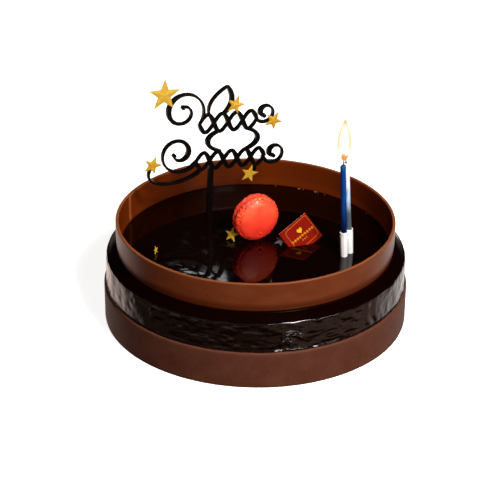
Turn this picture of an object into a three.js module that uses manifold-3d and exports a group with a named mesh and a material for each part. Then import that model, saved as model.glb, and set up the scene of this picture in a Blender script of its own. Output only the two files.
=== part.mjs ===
// A round glazed chocolate ice cream cake with a thin chocolate collar round its top.
// A macaron, a small card, two candles, a black scroll topper and gold stars stand on it.
// Millimetres, +Z up, origin at the centre of the underside. The shown side faces -Y.

import * as THREE from "three";
import { mergeVertices } from "three/addons/utils/BufferGeometryUtils.js";
import Module from "manifold-3d";

const wasm = await Module();
wasm.setup();

// ---------------------------------------------------------------- driving dimensions

const ROUND = 120; // facets round the cake
const GAP = 0.3; // clearance of a piece that is set into its neighbour or rests in a turned frame
const GLAZE_LEVEL = 59; // height of the flat glazed top

const band = { outer: 120, wall: 2.4, height: 29.5, edge: 0.7 };

const body = {
  clearance: 0.2, // between the body and the band round its foot
  sideRadius: 118,
  shoulderHeight: 50.5, // where the side starts to turn inwards
  creaseRadius: 116.8, // the crisp line between shoulder and side
  creaseHeight: 53.9,
  flatRadius: 110.2, // where the shoulder meets the flat top
  ripple: 0.45, // depth of the ripples in the glazed side
};

const collar = {
  outer: 109.4,
  wall: 2.4,
  height: 23.2,
  tuck: 0.8, // how far its foot curves inwards
  tuckHeight: 5.4,
  edge: 0.35,
  shift: -0.5, // it stands this far right of the cake's axis
};

const macaron = {
  diameter: 37.5,
  thickness: 19,
  filling: 2,
  foot: 3.2, // height of the ruffled foot of a shell
  ruffle: 0.4,
  place: [-0.6, 8.0],
  turn: 28, // degrees that its face is turned to the right
};

const card = {
  width: 27.8,
  height: 22.9,
  thickness: 0.8,
  place: [35.2, 1.9],
  centreHeight: 6.8, // above the glaze, so that one corner is sunk
  turn: 18.3,
  lean: 31.4, // degrees that it leans back
  roll: 30.2, // degrees that it stands rolled onto its lower corner
};

const candle = { radius: 2.2, length: 67, taper: 1.2, wickRadius: 0.5, wickLength: 8, wickDepth: 2.4 };

const holder = {
  topRadius: 3.1,
  footRadius: 2.6,
  height: 23.5,
  depth: 11.5, // how far the candle stands in it
  sunk: 2.5, // how far its foot is pushed into the glaze
  flutes: 8,
  fluteDepth: 0.12,
};

const candleSpots = [
  { colour: "blue", place: [69.0, -19.2], lean: 2.6 },
  { colour: "white", place: [73.6, -13.4], lean: 4.0 },
];

const topper = {
  place: [-38.3, 46.2],
  turn: 23,
  lean: 2, // degrees that the whole topper leans to the right
  thickness: 3,
  stickWidth: 4.2,
  stickHeight: 47,
  sunk: 14,
  thinStroke: 1.8,
  thickStroke: 3.2,
  strokeStep: 2, // length of one straight piece of a stroke
  bead: 1.7, // radius of the bead that ends a curl
  slant: 0.12, // sideways lean of a braid for each unit of its rise
};

const star = { thickness: 0.6, ridge: 0.5, waist: 0.42 };

// Stars on the topper: centre right of and above the stick's foot, outer radius, turn to the right.
const topperStars = [
  { at: [-41.7, 111], radius: 13.2, turn: 2 },
  { at: [18.4, 96], radius: 8, turn: 19 },
  { at: [51.8, 78.5], radius: 8, turn: 30 },
  { at: [-50.3, 52.5], radius: 8, turn: 21 },
  { at: [33.0, 34.4], radius: 7.8, turn: 16 },
];

// Stars that stand on the glaze: place, outer radius, turn and backward lean of their face.
const glazeStars = [
  { name: "glaze_star_gold", place: [-19.2, 4.6], radius: 6.2, turn: -28, lean: 26, colour: 0xd8a82c },
  { name: "glaze_star_small", place: [-77.8, -19.4], radius: 3.3, turn: 66, lean: 8, colour: 0xd8a82c },
  { name: "glaze_star_silver", place: [19.4, -0.6], radius: 5.6, turn: -38, lean: 62, colour: 0x55565a },
];

// ---------------------------------------------------------------- helpers

const radians = THREE.MathUtils.degToRad;

function material(colour, roughness, metalness = 0) {
  return new THREE.MeshStandardMaterial({ color: colour, roughness, metalness });
}

function mesh(name, geometry, look) {
  const made = new THREE.Mesh(geometry, look);
  made.name = name;
  return made;
}

// A solid of revolution about +Z from [radius, height] points that run from bottom to top.
function turned(profile, facets) {
  const points = profile.map(([radius, height]) => new THREE.Vector2(radius, height));
  return new THREE.LatheGeometry(points, facets).rotateX(Math.PI / 2);
}

// Moves every vertex away from the Z axis by relief(angle, height, radius).
function carve(geometry, relief) {
  const position = geometry.getAttribute("position");
  for (let i = 0; i < position.count; i += 1) {
    const x = position.getX(i);
    const y = position.getY(i);
    const radius = Math.hypot(x, y);
    if (radius < 1e-6) continue;
    const scale = 1 + relief(Math.atan2(y, x), position.getZ(i), radius) / radius;
    position.setXY(i, x * scale, y * scale);
  }
  return geometry;
}

function solid(geometry) {
  const bare = geometry.index ? geometry.toNonIndexed() : geometry.clone();
  bare.deleteAttribute("normal");
  bare.deleteAttribute("uv");
  const merged = mergeVertices(bare, 1e-4);
  const vertProperties = Float32Array.from(merged.getAttribute("position").array);
  const triVerts = Uint32Array.from(merged.index.array);
  return new wasm.Manifold(new wasm.Mesh({ numProp: 3, vertProperties, triVerts }));
}

function geometryOf(made) {
  const { numProp, vertProperties, triVerts } = made.getMesh();
  const geometry = new THREE.BufferGeometry();
  const positions = new Float32Array((vertProperties.length / numProp) * 3);
  for (let i = 0; i < positions.length / 3; i += 1) {
    positions.set(vertProperties.subarray(i * numProp, i * numProp + 3), i * 3);
  }
  geometry.setAttribute("position", new THREE.BufferAttribute(positions, 3));
  geometry.setIndex(new THREE.BufferAttribute(Uint32Array.from(triVerts), 1));
  const flat = geometry.toNonIndexed();
  flat.computeVertexNormals();
  return flat;
}

// Joins many solids two by two, which keeps each join small.
function joined(solids) {
  let row = solids;
  while (row.length > 1) {
    const next = [];
    for (let i = 0; i < row.length; i += 2) {
      next.push(i + 1 < row.length ? row[i].add(row[i + 1]) : row[i]);
    }
    row = next;
  }
  return row[0];
}

// ---------------------------------------------------------------- the cake

// A smooth uneven wave round the cake, between about -1 and 1, for the rippled glaze.
function ripples(angle, height) {
  const broad = Math.sin(7 * angle + 0.21 * height) * Math.cos(0.43 * height - 3 * angle);
  const fine = Math.sin(17 * angle - 0.62 * height) * Math.sin(0.55 * height + 5 * angle);
  return 0.6 * broad + 0.4 * fine;
}

function bodyRelief(angle, height) {
  const low = THREE.MathUtils.smoothstep(height, band.height + 0.5, band.height + 4);
  const high = 1 - THREE.MathUtils.smoothstep(height, body.shoulderHeight - 2, body.creaseHeight);
  return body.ripple * low * high * ripples(angle, height);
}

function bodyGeometry() {
  const foot = band.outer - band.wall - body.clearance;
  const lip = band.height + body.clearance;
  const profile = [[0, 0], [foot, 0], [foot, lip], [body.sideRadius, lip + 0.5]];
  const rows = 5;
  for (let i = 1; i <= rows; i += 1) {
    const height = lip + 0.5 + ((body.shoulderHeight - lip - 0.5) * i) / rows;
    profile.push([body.sideRadius, height]);
  }
  profile.push([body.creaseRadius, body.creaseHeight]);
  profile.push([(body.creaseRadius + body.flatRadius) / 2, (body.creaseHeight + GLAZE_LEVEL) / 2 + 0.5]);
  profile.push([body.flatRadius, GLAZE_LEVEL], [0, GLAZE_LEVEL]);
  return carve(turned(profile, ROUND), bodyRelief);
}

function bandGeometry() {
  const { outer, wall, height, edge } = band;
  const inner = outer - wall;
  const profile = [
    [inner, 0],
    [outer, 0],
    [outer, height - edge],
    [outer - edge, height],
    [inner, height],
    [inner, 0],
  ];
  return turned(profile, ROUND);
}

function collarGeometry() {
  const { outer, wall, height, tuck, tuckHeight, edge } = collar;
  const inner = outer - wall;
  const profile = [
    [inner - tuck, 0],
    [outer - tuck, 0],
    [outer, tuckHeight],
    [outer, height - edge],
    [outer - edge, height],
    [inner + edge, height],
    [inner, height - edge],
    [inner, tuckHeight],
    [inner - tuck, 0],
  ];
  return turned(profile, ROUND);
}

// ---------------------------------------------------------------- the macaron

function ruffles(angle) {
  const wide = Math.sin(11 * angle) * Math.cos(4 * angle + 1);
  return macaron.ruffle * (0.6 * wide + 0.4 * Math.sin(19 * angle + 2));
}

// One shell with its flat side at height 0: a ruffled foot, then a low dome.
function shellGeometry() {
  const radius = macaron.diameter / 2;
  const rise = (macaron.thickness - macaron.filling) / 2 - GAP / 2;
  const domeRise = rise - macaron.foot;
  const profile = [
    [0, 0],
    [radius - 0.9, 0],
    [radius - 0.1, macaron.foot * 0.35],
    [radius - 0.1, macaron.foot * 0.8],
    [radius - 0.8, macaron.foot],
  ];
  const steps = 6;
  for (let i = 0; i < steps; i += 1) {
    const angle = (i / steps) * (Math.PI / 2);
    const flatter = Math.cos(angle) ** 0.72;
    profile.push([radius * flatter, macaron.foot + 0.4 + (domeRise - 0.4) * Math.sin(angle)]);
  }
  profile.push([0, rise]);
  const isFoot = (height) => height > 0.01 && height < macaron.foot + 0.01;
  return carve(turned(profile, 48), (angle, height) => (isFoot(height) ? ruffles(angle) : 0));
}

function fillingGeometry() {
  const radius = macaron.diameter / 2 - 1.6;
  const half = macaron.filling / 2 - GAP / 2;
  const profile = [[0, -half], [radius - 0.3, -half], [radius, 0], [radius - 0.3, half], [0, half]];
  return turned(profile, 48);
}

// The macaron stands on its rim, its axis level and its front shell towards -Y.
function macaronGroup() {
  const red = 0xf0432b;
  const group = new THREE.Group();
  const front = mesh("macaron_front_shell", shellGeometry(), material(red, 0.6));
  front.rotation.x = Math.PI / 2;
  front.position.y = -macaron.filling / 2;
  const filling = mesh("macaron_filling", fillingGeometry(), material(0xa81c10, 0.6));
  filling.rotation.x = Math.PI / 2;
  const back = mesh("macaron_back_shell", shellGeometry(), material(red, 0.6));
  back.rotation.x = -Math.PI / 2;
  back.position.y = macaron.filling / 2;
  group.add(front, filling, back);
  const [x, y] = macaron.place;
  group.position.set(x, y, GLAZE_LEVEL + GAP + macaron.diameter / 2);
  group.rotation.z = radians(macaron.turn);
  return group;
}

// ---------------------------------------------------------------- the card

function cardGeometry(margin = 0) {
  const { width, height, thickness } = card;
  return new THREE.BoxGeometry(width + 2 * margin, thickness + 2 * margin, height + 2 * margin);
}

function placeCard(made) {
  const [x, y] = card.place;
  made.position.set(x, y, GLAZE_LEVEL + card.centreHeight);
  made.rotation.set(-radians(card.lean), -radians(card.roll), radians(card.turn), "ZXY");
  return made;
}

// ---------------------------------------------------------------- the candles

function candleGeometry() {
  const { radius, length, taper, wickRadius, wickDepth } = candle;
  const bore = wickRadius + GAP;
  const profile = [
    [0, 0],
    [radius, 0],
    [radius, length - taper],
    [radius * 0.7, length],
    [bore, length - 0.1],
    [bore, length - wickDepth],
    [0, length - wickDepth],
  ];
  return turned(profile, 20);
}

function wickGeometry() {
  const { wickRadius, wickLength } = candle;
  return turned([[0, 0], [wickRadius, 0], [wickRadius, wickLength], [0, wickLength]], 8);
}

// A fluted cup for one candle, wider at its mouth.
function holderGeometry(margin = 0) {
  const { topRadius, footRadius, height, depth, fluteDepth, flutes } = holder;
  const bore = candle.radius + GAP;
  const floor = height - depth - GAP;
  const outside = [[0, -margin], [footRadius + margin, -margin], [topRadius + margin, height]];
  const inside = margin > 0 ? [[0, height]] : [[bore, height], [bore, floor], [0, floor]];
  const flute = (angle, z, radius) => (radius > bore + 0.05 ? fluteDepth * Math.cos(flutes * angle) : 0);
  return carve(turned([...outside, ...inside], 32), flute);
}

function placeOnGlaze(made, spot) {
  made.position.set(spot.place[0], spot.place[1], GLAZE_LEVEL - holder.sunk);
  made.rotation.y = -radians(spot.lean);
  return made;
}

function candleGroup(spot) {
  const wax = { blue: 0x0d3f8c, white: 0xd9e2ee }[spot.colour];
  const group = new THREE.Group();
  const cup = mesh(`candle_holder_${spot.colour}`, holderGeometry(), material(0xf0eef5, 0.4));
  const stick = mesh(`candle_${spot.colour}`, candleGeometry(), material(wax, 0.35));
  stick.position.z = holder.height - holder.depth;
  const wick = mesh(`wick_${spot.colour}`, wickGeometry(), material(0x2a2320, 0.9));
  wick.position.z = stick.position.z + candle.length - candle.wickDepth + GAP;
  group.add(cup, stick, wick);
  return placeOnGlaze(group, spot);
}

// ---------------------------------------------------------------- the topper

// A wavy line from one point to another, leaning to the right as it rises.
class Wave extends THREE.Curve {
  constructor({ from, to, waves, swing }) {
    super();
    Object.assign(this, { from, to, waves, swing });
  }

  getPoint(t, target = new THREE.Vector2()) {
    const rise = this.swing * Math.sin(2 * Math.PI * this.waves * t);
    const along = THREE.MathUtils.lerp(this.from[0], this.to[0], t);
    const base = THREE.MathUtils.lerp(this.from[1], this.to[1], t);
    return target.set(along + topper.slant * rise, base + rise);
  }
}

// A spiral about a centre. Its radius changes evenly from the start to the end of its sweep.
class Volute extends THREE.Curve {
  constructor({ centre, first, last, start, sweep }) {
    super();
    Object.assign(this, { centre, first, last, start, sweep });
  }

  getPoint(t, target = new THREE.Vector2()) {
    const angle = radians(this.start + this.sweep * t);
    const radius = THREE.MathUtils.lerp(this.first, this.last, t);
    return target.set(this.centre[0] + radius * Math.cos(angle), this.centre[1] + radius * Math.sin(angle));
  }
}

function stroke(curve, bead = 0) {
  return { curve, bead };
}

function swash(...points) {
  return stroke(new THREE.CubicBezierCurve(...points.map(([u, v]) => new THREE.Vector2(u, v))));
}

// A spiral that ends in a round bead at its centre.
function curl(shape) {
  return stroke(new Volute(shape), topper.bead);
}

// Two waves that swing against each other, so that they make a chain of open links.
function braid({ from, to, links, swing }) {
  const waves = links / 2;
  return [swing, -swing].map((each) => stroke(new Wave({ from, to, waves, swing: each })));
}

// Every stroke of the scrollwork, in millimetres right of and above the stick's foot.
function scrollStrokes() {
  return [
    ...braid({ from: [-13, 50], to: [46, 48], links: 5, swing: 7 }),
    ...braid({ from: [-11, 82], to: [38, 81], links: 4, swing: 7.5 }),
    curl({ centre: [-25, 94], first: 18.5, last: 4, start: -37, sweep: 490 }),
    curl({ centre: [-28, 59], first: 17.5, last: 4, start: -30, sweep: -490 }),
    curl({ centre: [45, 86], first: 9, last: 3, start: -146, sweep: 400 }),
    curl({ centre: [54.5, 50], first: 10, last: 3, start: -170, sweep: 430 }),
    swash([-3, 89], [-6, 98], [2, 107], [12, 112]),
    swash([12, 112], [17, 104], [18, 96], [9, 89]),
    swash([6, 74.5], [-7, 71], [-7, 61], [8, 57]),
    swash([28, 74], [43, 71], [43, 60], [29, 56]),
    swash([-8, 43], [-26, 28], [-64, 32], [-50, 51]),
    swash([38, 42], [38, 38], [36, 35], [33, 33]),
  ];
}

// Half the width of a stroke: broad where the pen falls, fine where it rises or runs level.
function strokeHalfWidth(direction, endDistance) {
  const fall = Math.max(0, -direction.y);
  const half = (topper.thinStroke + (topper.thickStroke - topper.thinStroke) * fall ** 1.3) / 2;
  return half * Math.min(0.7 + 0.15 * endDistance, 1);
}

// A flat strip of four-sided sections through the points.
function stripGeometry(points, halves) {
  const corners = [];
  const sections = points.length - 1;
  for (let i = 0; i <= sections; i += 1) {
    const before = points[Math.max(i - 1, 0)];
    const after = points[Math.min(i + 1, sections)];
    const along = after.clone().sub(before).normalize();
    for (const [side, face] of [[1, -1], [-1, -1], [-1, 1], [1, 1]]) {
      const u = points[i].x - side * along.y * halves[i];
      const v = points[i].y + side * along.x * halves[i];
      corners.push(u, (face * topper.thickness) / 2, v);
    }
  }
  const faces = [0, 2, 1, 0, 3, 2];
  for (let s = 0; s < sections; s += 1) {
    for (let k = 0; k < 4; k += 1) {
      const a = s * 4 + k;
      const b = s * 4 + ((k + 1) % 4);
      faces.push(a, b, a + 4, b, b + 4, a + 4);
    }
  }
  const end = sections * 4;
  faces.push(end, end + 1, end + 2, end, end + 2, end + 3);
  const geometry = new THREE.BufferGeometry();
  geometry.setAttribute("position", new THREE.Float32BufferAttribute(corners, 3));
  geometry.setIndex(faces);
  return geometry;
}

function beadGeometry(radius, at) {
  return new THREE.CylinderGeometry(radius, radius, topper.thickness, 10).translate(at.x, 0, at.y);
}

// The strip of a stroke, and its bead where it has one.
function strokeSolids({ curve, bead }) {
  const count = Math.round(curve.getLength() / topper.strokeStep);
  const points = curve.getPoints(count);
  const halves = points.map((point, i) => strokeHalfWidth(curve.getTangent(i / count), Math.min(i, count - i)));
  const strip = solid(stripGeometry(points, halves));
  return bead ? [strip, solid(beadGeometry(bead, points[count]))] : [strip];
}

function stickGeometry(margin = 0) {
  const { stickWidth, stickHeight, thickness, sunk } = topper;
  const length = stickHeight + sunk + margin;
  const box = new THREE.BoxGeometry(stickWidth + 2 * margin, thickness + 2 * margin, length);
  return box.translate(0, 0, stickHeight - length / 2);
}

function scrollGeometry() {
  const strokes = scrollStrokes().flatMap(strokeSolids);
  return geometryOf(joined([solid(stickGeometry()), ...strokes]));
}

function placeTopper(made) {
  made.position.set(topper.place[0], topper.place[1], GLAZE_LEVEL);
  made.rotation.set(0, radians(topper.lean), radians(topper.turn), "ZYX");
  return made;
}

// ---------------------------------------------------------------- the stars

// A five-pointed star facing -Y, flat behind and with a low ridge along each arm.
function starGeometry(radius) {
  const rim = [];
  for (let i = 0; i < 10; i += 1) {
    const angle = Math.PI / 2 + (i * Math.PI) / 5;
    const reach = i % 2 ? radius * star.waist : radius;
    rim.push([reach * Math.cos(angle), reach * Math.sin(angle)]);
  }
  const back = star.thickness / 2;
  const corners = [0, -back - star.ridge, 0, 0, back, 0];
  rim.forEach(([u, v]) => corners.push(u, -back, v, u, back, v));
  const faces = [];
  for (let i = 0; i < 10; i += 1) {
    const a = 2 + 2 * i;
    const b = 2 + 2 * ((i + 1) % 10);
    faces.push(0, a, b);
    faces.push(1, b + 1, a + 1);
    faces.push(a, a + 1, b, b, a + 1, b + 1);
  }
  const geometry = new THREE.BufferGeometry();
  geometry.setAttribute("position", new THREE.Float32BufferAttribute(corners, 3));
  geometry.setIndex(faces);
  const flat = geometry.toNonIndexed();
  flat.computeVertexNormals();
  return flat;
}

function topperGroup() {
  const group = new THREE.Group();
  group.add(mesh("topper", scrollGeometry(), material(0x0a0807, 0.35)));
  const front = -(topper.thickness + star.thickness) / 2 - GAP;
  topperStars.forEach((spot, i) => {
    const made = mesh(`topper_star_${i + 1}`, starGeometry(spot.radius), material(0xe0b62f, 0.35, 0.6));
    made.position.set(spot.at[0], front, spot.at[1]);
    made.rotation.y = radians(spot.turn);
    group.add(made);
  });
  return placeTopper(group);
}

// Stands on its two lower arms, whose tips reach 0.81 of the radius below the centre.
function glazeStar(spot) {
  const made = mesh(spot.name, starGeometry(spot.radius), material(spot.colour, 0.35, 0.6));
  const drop = 0.81 * spot.radius * Math.cos(radians(spot.lean));
  const lift = (star.thickness / 2) * Math.sin(radians(spot.lean));
  made.position.set(spot.place[0], spot.place[1], GLAZE_LEVEL + GAP / 2 + drop + lift);
  made.rotation.set(-radians(spot.lean), 0, radians(spot.turn), "ZYX");
  return made;
}

// ---------------------------------------------------------------- assembly

// The body with a socket for everything that is pushed into it.
function socketedBody() {
  const tools = [placeTopper(mesh("", stickGeometry(GAP))), placeCard(mesh("", cardGeometry(GAP)))];
  candleSpots.forEach((spot) => tools.push(placeOnGlaze(mesh("", holderGeometry(GAP)), spot)));
  let cut = solid(bodyGeometry());
  for (const tool of tools) {
    tool.updateMatrixWorld(true);
    cut = cut.subtract(solid(tool.geometry.applyMatrix4(tool.matrixWorld)));
  }
  return geometryOf(cut);
}

const group = new THREE.Group();

group.add(mesh("cake_body", socketedBody(), material(0x120504, 0.12)));
group.add(mesh("base_band", bandGeometry(), material(0x4e2c22, 0.6)));

const collarMesh = mesh("collar", collarGeometry(), material(0x5c2e1c, 0.35));
collarMesh.position.set(collar.shift, 0, GLAZE_LEVEL);
group.add(collarMesh);

group.add(macaronGroup());
group.add(placeCard(mesh("label_card", cardGeometry(), material(0x8c1414, 0.4))));
candleSpots.forEach((spot) => group.add(candleGroup(spot)));
group.add(topperGroup());
glazeStars.forEach((spot) => group.add(glazeStar(spot)));

export default group;
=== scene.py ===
"""Looks of the round chocolate ice cream cake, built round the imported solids.

Lengths in this file are millimetres in the part's own frame and are scaled to metres when a mesh
is made. The shown side faces -Y. Azimuths are degrees from -Y, positive towards +X.
"""

from math import atan2, cos, degrees, exp, hypot, pi, radians, sin, tanh, tau

import bmesh
import bpy
import numpy as np
from mathutils import Matrix, Vector, noise


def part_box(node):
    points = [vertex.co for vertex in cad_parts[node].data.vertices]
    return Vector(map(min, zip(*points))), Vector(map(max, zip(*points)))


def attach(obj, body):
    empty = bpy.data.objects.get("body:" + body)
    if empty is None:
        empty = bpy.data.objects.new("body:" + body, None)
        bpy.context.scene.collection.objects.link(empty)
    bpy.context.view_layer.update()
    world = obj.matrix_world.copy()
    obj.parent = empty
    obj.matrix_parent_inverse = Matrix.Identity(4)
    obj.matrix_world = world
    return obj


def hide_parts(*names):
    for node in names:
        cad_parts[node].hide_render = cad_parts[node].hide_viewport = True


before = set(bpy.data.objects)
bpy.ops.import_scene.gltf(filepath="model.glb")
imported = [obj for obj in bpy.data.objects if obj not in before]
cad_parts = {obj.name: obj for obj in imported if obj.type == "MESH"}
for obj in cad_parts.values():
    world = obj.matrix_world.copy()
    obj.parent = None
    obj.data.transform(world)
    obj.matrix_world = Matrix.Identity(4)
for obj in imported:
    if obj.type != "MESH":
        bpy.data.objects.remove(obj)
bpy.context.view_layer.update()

MM = 0.001


# ---- sizes

def node_box(node):
    low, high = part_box(node)
    return low / MM, high / MM


GLAZE = node_box("cake_body")[1].z  # height of the flat glazed top
BAND_RADIUS, _, BAND_HEIGHT = node_box("base_band")[1]
BAND_WALL = 2.4
COLLAR_LOW, COLLAR_HIGH = node_box("collar")
COLLAR_RADIUS = (COLLAR_HIGH.y - COLLAR_LOW.y) / 2
COLLAR_SHIFT = (COLLAR_HIGH.x + COLLAR_LOW.x) / 2
COLLAR_HEIGHT = COLLAR_HIGH.z - COLLAR_LOW.z
COLLAR_WALL = 2.4
COLLAR_TUCK = 0.8
COLLAR_TUCK_HEIGHT = 5.4

SIDE_RADIUS = 118.0
SHOULDER_HEIGHT = 50.5
CREASE_RADIUS = 116.8
CREASE_HEIGHT = 53.9
FLAT_RADIUS = 110.2

MACARON_RADIUS = 18.75
MACARON_THICKNESS = 19.0
MACARON_FILLING = 2.0
MACARON_PLACE = (-0.6, 8.0)
MACARON_TURN = 28
GAP = 0.3

CARD_SIZE = (27.8, 0.75, 22.9)
CARD_PLACE = (35.2, 1.9)
CARD_CENTRE = 6.8
CARD_TURN = 18.3
CARD_LEAN = 31.4
CARD_ROLL = 30.2

CANDLE_RADIUS = 2.2
CANDLE_LENGTH = 67.0
WICK_LENGTH = 8.0
WICK_SUNK = 2.4
WICK_BENDS = {"blue": 0.9, "white": -0.5}
HOLDER_HEIGHT = 23.5
HOLDER_DEPTH = 11.5
HOLDER_SUNK = 2.5
HOLDER_TOP = 3.1
HOLDER_FOOT = 2.6
FLUTES = 8
FLUTE_DEPTH = 0.08
CANDLE_SPOTS = {"blue": ((69.0, -19.2), 2.6), "white": ((73.6, -13.4), 4.0)}

TOPPER_PLACE = (-38.3, 46.2)
TOPPER_TURN = 23
TOPPER_LEAN = 2
TOPPER_THICKNESS = 3.0
STICK_WIDTH = 4.2
STICK_HEIGHT = 47.0
STICK_SUNK = 14.0
THIN_STROKE = 2.0
THICK_STROKE = 3.9
BEAD_RADIUS = 1.7
BRAID_SLANT = 0.12


# ---- numbers

def smoothstep(low, high, value):
    t = min(max((value - low) / (high - low), 0.0), 1.0)
    return t * t * (3 - 2 * t)


def lump(x, y, z, wave, seed=0.0):
    """Smooth noise between about -1 and 1 whose bumps are about one wave long."""
    return noise.noise(Vector((x / wave + seed, y / wave - seed, z / wave + 2 * seed)))


def azimuth_of(x, y):
    return degrees(atan2(x, -y))


def round_point(centre, radius, angle):
    return centre[0] + radius * cos(angle), centre[1] + radius * sin(angle)


# ---- meshes

def add_mesh(name, shape, material=None, scale=MM):
    """A new object from (vertices, faces), scaled to metres."""
    vertices, faces = shape
    mesh = bpy.data.meshes.new(name)
    mesh.from_pydata([[float(c) * scale for c in v] for v in vertices], [], faces)
    if material:
        mesh.materials.append(material)
    made = bpy.data.objects.new(name, mesh)
    bpy.context.scene.collection.objects.link(made)
    return made


def make_object(name, shape, material, replaced=(), smooth=True):
    """A piece of the part. It stands for the replaced nodes."""
    made = add_mesh(name, shape, material)
    made.data.validate()
    for polygon in made.data.polygons:
        polygon.use_smooth = smooth
    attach(made, "root")
    if replaced:
        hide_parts(*replaced)
    return made


def sharpen(made, angle):
    """Marks the edges that turn by more than this angle as sharp."""
    shape = bmesh.new()
    shape.from_mesh(made.data)
    limit = radians(angle)
    for edge in shape.edges:
        edge.smooth = edge.calc_face_angle(0.0) < limit
    shape.to_mesh(made.data)
    shape.free()


def ease_edges(made, width, angle):
    """Rounds the edges that turn by more than this angle."""
    bevel = made.modifiers.new("eased_edges", "BEVEL")
    bevel.width = width * MM
    bevel.segments = 2
    bevel.limit_method = "ANGLE"
    bevel.angle_limit = radians(angle)


def turned(profile, facets, relief=None, ring=False):
    """A closed shape turned about +Z from (radius, height) rows.

    A ring joins its last row to its first. Any other shape starts and ends on the axis, and its
    rows of radius 0 become single points. relief(x, y, z) gives (outward, upward) shifts.
    """
    vertices = []
    rings = []
    for radius, height in profile:
        count = facets if radius else 1
        rings.append(range(len(vertices), len(vertices) + count))
        for i in range(count):
            x, y = round_point((0, 0), radius, tau * i / facets)
            out, up = relief(x, y, height) if relief and radius else (0.0, 0.0)
            grown = 1 + out / (radius or 1)
            vertices.append((x * grown, y * grown, height + up))
    if ring:
        rings.append(rings[0])
    faces = []
    for low, high in zip(rings, rings[1:]):
        for i in range(facets):
            j = (i + 1) % facets
            if len(low) == 1:
                faces.append((low[0], high[j], high[i]))
            elif len(high) == 1:
                faces.append((low[i], low[j], high[0]))
            else:
                faces.append((low[i], low[j], high[j], high[i]))
    return vertices, faces


def spin(angle, axis):
    """A rotation by an angle in degrees."""
    return Matrix.Rotation(radians(angle), 4, axis)


def moved(shape, matrix):
    vertices, faces = shape
    return [tuple(matrix @ Vector(v)) for v in vertices], faces


def share_out(made, name, shares):
    """Keeps a number for each vertex, for the material to read."""
    made.data.attributes.new(name, "FLOAT", "POINT").data.foreach_set("value", shares)


def rows(radius, height, *shifts):
    """Profile rows that lie at these shifts from a radius and a height."""
    return [(radius + out, height + up) for out, up in shifts]


def spaced(start, end, count):
    """Points from start to end, without the start itself."""
    first = np.array(start)
    step = np.array(end) - first
    return [tuple(first + step * k / count) for k in range(1, count + 1)]


# ---- materials

class Nodes:
    """The shader nodes of a material or of the world."""

    def __init__(self, tree, place):
        self.nodes = tree.nodes
        self.links = tree.links
        self.place = self.node("TexCoord").outputs[place]

    def plug(self, socket, value):
        """Feeds a socket from another one, or sets its value."""
        if isinstance(value, bpy.types.NodeSocket):
            self.links.new(value, socket)
        else:
            socket.default_value = value

    def node(self, kind, inputs=None, **settings):
        """A node with these settings, and with a value or a socket for each input named."""
        made = self.nodes.new("ShaderNode" + kind)
        for key, value in settings.items():
            setattr(made, key, value)
        for key, value in (inputs or {}).items():
            self.plug(made.inputs[key], value)
        return made

    def stretched(self, factors):
        """The place scaled by a factor along each axis."""
        return self.node("Mapping", {"Vector": self.place, "Scale": factors}).outputs["Vector"]

    def noise(self, size, detail=3.0, place=None, distortion=0.0):
        """Noise whose bumps are about size millimetres long."""
        inputs = {"Scale": 1 / (size * MM), "Detail": detail, "Distortion": distortion}
        return self.node("TexNoise", inputs | {"Vector": place or self.place}).outputs["Fac"]

    def spots(self, size, reach):
        """1 in the middle of scattered round spots, size millimetres apart, and 0 between them."""
        texture = self.node("TexVoronoi", {"Vector": self.place, "Scale": 1 / (size * MM)})
        return self.ramp(texture.outputs["Distance"], reach, 0.0)

    def ramp(self, value, low, high):
        """The value taken smoothly from low..high to 0..1."""
        source = {"Value": value, "From Min": min(low, high), "From Max": max(low, high)}
        target = {"To Min": float(low > high), "To Max": float(low < high)}
        return self.node("MapRange", source | target, interpolation_type="SMOOTHSTEP").outputs["Result"]

    def axis(self, name, scale=1 / MM):
        """One coordinate of the place, in millimetres."""
        return self.times(self.node("SeparateXYZ", {"Vector": self.place}).outputs[name], scale)

    def radius(self):
        """The distance from the cake's axis, in millimetres."""
        length = self.node("VectorMath", {0: self.stretched((1, 1, 0))}, operation="LENGTH")
        return self.times(length.outputs["Value"], 1 / MM)

    def near(self, point, low, high):
        """1 within the low distance of a point and 0 beyond the high one, in millimetres."""
        away = self.node("VectorMath", {0: self.place, 1: [c * MM for c in point]}, operation="DISTANCE")
        return self.ramp(self.times(away.outputs["Value"], 1 / MM), high, low)

    def math(self, operation, a, b=0.0):
        return self.node("Math", {0: a, 1: b}, operation=operation).outputs["Value"]

    def times(self, a, b):
        return self.math("MULTIPLY", a, b)

    def mix(self, factor, a, b):
        """A colour between a and b. Each is a colour or a socket."""
        a, b = ((*c, 1) if isinstance(c, tuple) else c for c in (a, b))
        return self.node("Mix", {"Factor": factor, 6: a, 7: b}, data_type="RGBA").outputs[2]

    def between(self, factor, low, high):
        """A number between low and high."""
        return self.node("MapRange", {"Value": factor, "To Min": low, "To Max": high}).outputs["Result"]


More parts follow.
